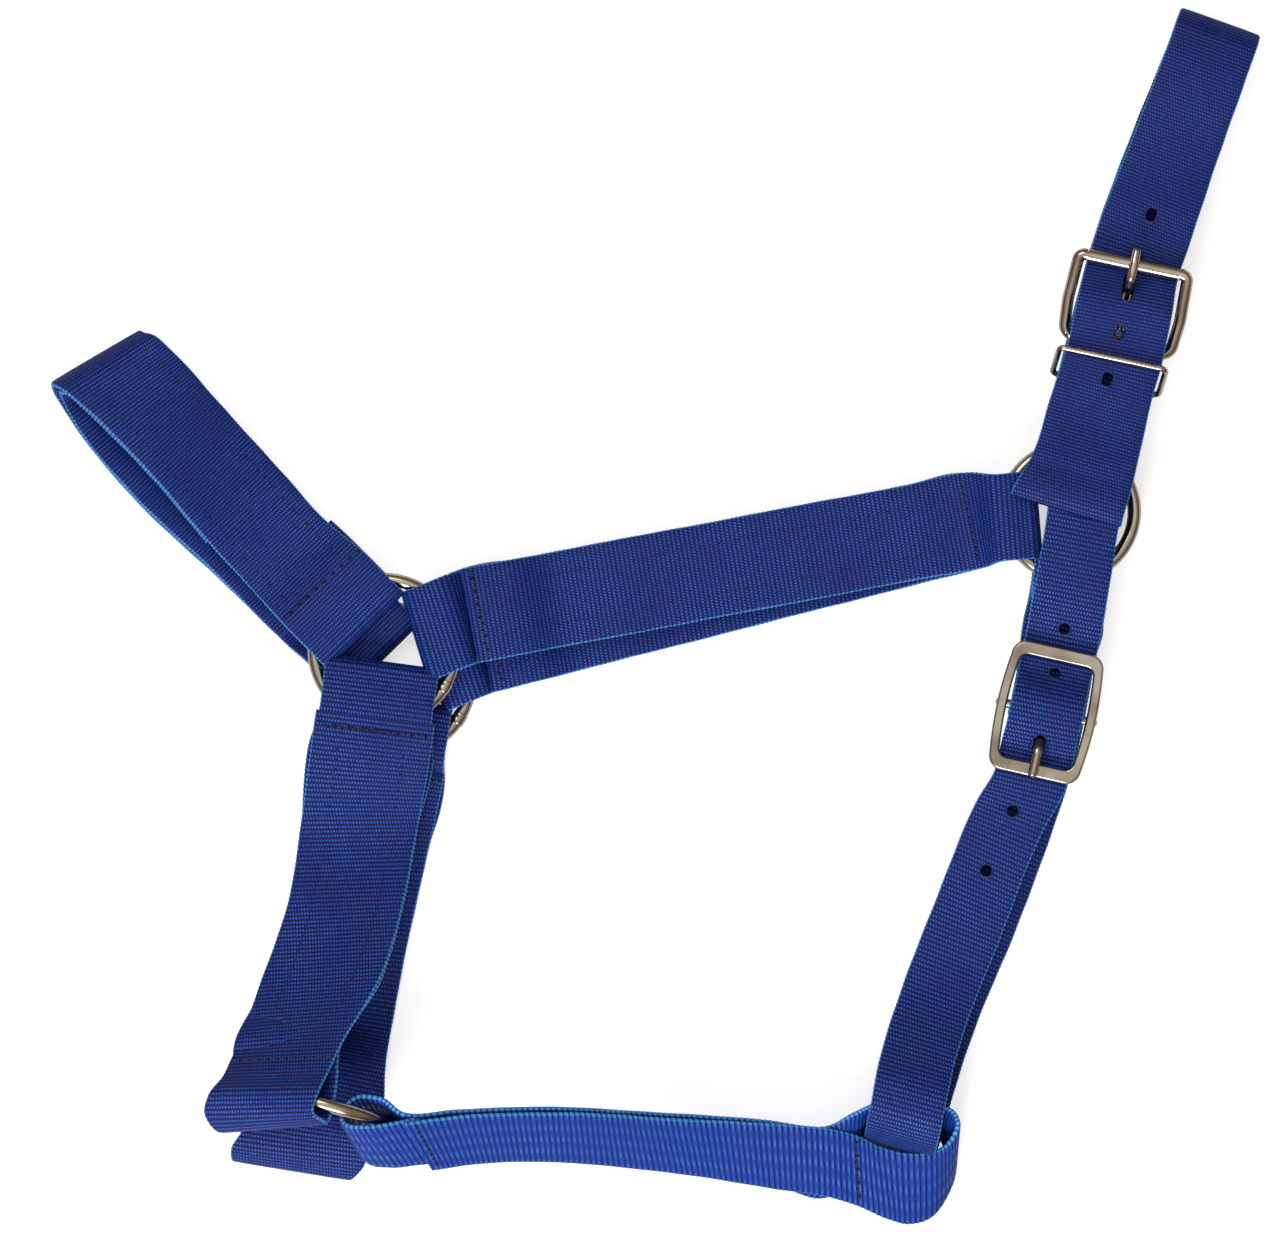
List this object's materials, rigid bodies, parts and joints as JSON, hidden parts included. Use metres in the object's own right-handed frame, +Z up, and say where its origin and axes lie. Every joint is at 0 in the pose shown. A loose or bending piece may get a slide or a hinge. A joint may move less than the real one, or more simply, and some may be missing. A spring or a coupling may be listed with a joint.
{
  "type": "head halter",
  "caption": "Webbing head halter lying flat, with noseband, cheek, chin, throat and crown straps joined by wire rings and closed by two buckles.",
  "frame": {"origin": "under the middle of the bounding box, on the surface that the halter lies on", "axes": "+X from the nose towards the poll, +Y from the chin towards the nose, +Z up through the flat-laid halter"},
  "size_m": [0.3968, 0.4046, 0.0609],
  "materials": {
    "blue_webbing": "tight flat-woven nylon webbing, matt with a slight sheen",
    "ribbed_webbing": "ribbed nylon webbing, matt with a slight sheen",
    "nickel_wire": "bright nickel plate on formed and welded wire",
    "nickel_casting": "bright nickel plate on a polished casting"
  },
  "bodies": {
    "halter": {"noseband": "blue_webbing", "near_cheek_strap": "blue_webbing", "far_cheek_strap": "blue_webbing", "near_chin_strap": "blue_webbing", "far_chin_strap": "blue_webbing", "throat_connector_strap": "ribbed_webbing", "throat_strap": "blue_webbing", "throat_buckle_chape": "blue_webbing", "throat_buckle_frame": "nickel_casting"},
    "crown": {"crown_strap": "blue_webbing", "crown_buckle_chape": "blue_webbing", "crown_buckle_frame": "nickel_wire"},
    "near_nose_ring": {"near_nose_ring": "nickel_wire"},
    "far_nose_ring": {"far_nose_ring": "nickel_wire"},
    "near_top_ring": {"near_top_ring": "nickel_wire"},
    "far_top_ring": {"far_top_ring": "nickel_wire"},
    "chin_ring": {"chin_ring": "nickel_wire"},
    "crown_roller": {"crown_buckle_roller": "nickel_wire"},
    "crown_tongue": {"crown_buckle_tongue": "nickel_wire"},
    "crown_keeper": {"crown_keeper": "nickel_wire"},
    "throat_tongue": {"throat_buckle_tongue": "nickel_wire"}
  },
  "joints": [
    {"name": "crown_swing", "type": "hinge", "parent": "halter", "child": "crown", "pos_m": [0.13482, 0.0343, 0.01], "axis": [0, 0, 1], "range_deg": [-35, 10]},
    {"name": "near_nose_ring_turn", "type": "hinge", "parent": "halter", "child": "near_nose_ring", "pos_m": [-0.09318, -0.0117, 0.01465], "axis": [0, 0, 1], "continuous": true},
    {"name": "far_nose_ring_turn", "type": "hinge", "parent": "halter", "child": "far_nose_ring", "pos_m": [-0.08818, -0.0217, 0.00475], "axis": [0, 0, 1], "continuous": true},
    {"name": "near_top_ring_turn", "type": "hinge", "parent": "halter", "child": "near_top_ring", "pos_m": [0.13482, 0.0343, 0.01465], "axis": [0, 0, 1], "continuous": true},
    {"name": "far_top_ring_turn", "type": "hinge", "parent": "halter", "child": "far_top_ring", "pos_m": [0.13482, 0.0343, 0.00475], "axis": [0, 0, 1], "continuous": true},
    {"name": "chin_ring_turn", "type": "hinge", "parent": "halter", "child": "chin_ring", "pos_m": [-0.11118, -0.1623, 0.02895], "axis": [0.2756, 0.9613, 0], "continuous": true},
    {"name": "crown_roller_turn", "type": "hinge", "parent": "crown", "child": "crown_roller", "pos_m": [0.15585, 0.11631, 0.02085], "axis": [-0.9781, 0.2079, 0], "continuous": true},
    {"name": "crown_tongue_lift", "type": "hinge", "parent": "crown", "child": "crown_tongue", "pos_m": [0.15024, 0.0899, 0.01465], "axis": [0.9781, -0.2079, 0], "range_deg": [0, 8]},
    {"name": "crown_keeper_slide", "type": "slide", "parent": "crown", "child": "crown_keeper", "axis": [0.2672, 0.9636, 0], "range_m": [-0.008, 0.001]},
    {"name": "throat_tongue_lift", "type": "hinge", "parent": "halter", "child": "throat_tongue", "pos_m": [0.12682, -0.0324, 0.01545], "axis": [-0.9755, 0.2199, 0], "range_deg": [0, 8]}
  ]
}
